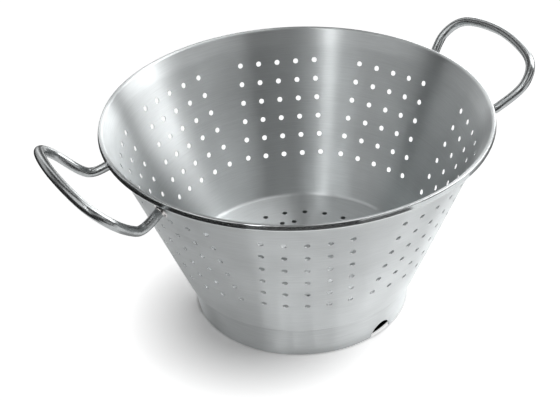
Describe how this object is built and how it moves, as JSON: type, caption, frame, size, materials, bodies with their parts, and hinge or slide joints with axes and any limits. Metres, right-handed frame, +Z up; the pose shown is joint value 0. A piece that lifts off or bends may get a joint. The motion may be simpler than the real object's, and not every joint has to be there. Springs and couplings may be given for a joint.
{
  "type": "colander",
  "caption": "Cone-shaped steel colander with panels of drain holes, a rolled rim, a notched foot ring and bent rod loop handles welded below the rim.",
  "frame": {"origin": "on the table, under the axis of the bowl", "axes": "+X along the line through both handles, towards the right handle; +Z up along the axis of the bowl"},
  "size_m": [0.4236, 0.3198, 0.1949],
  "materials": {
    "satin_steel": "satin, brushed round the axis",
    "polished_steel": "polished",
    "wire_steel": "drawn wire",
    "weld_steel": "cleaned weld"
  },
  "bodies": {
    "root": {"bowl": "satin_steel", "rim_wire": "wire_steel", "foot_ring": "satin_steel", "handle_right": "polished_steel", "handle_left": "polished_steel", "weld_right_back": "weld_steel", "weld_right_front": "weld_steel", "weld_left_front": "weld_steel", "weld_left_back": "weld_steel"}
  },
  "joints": []
}
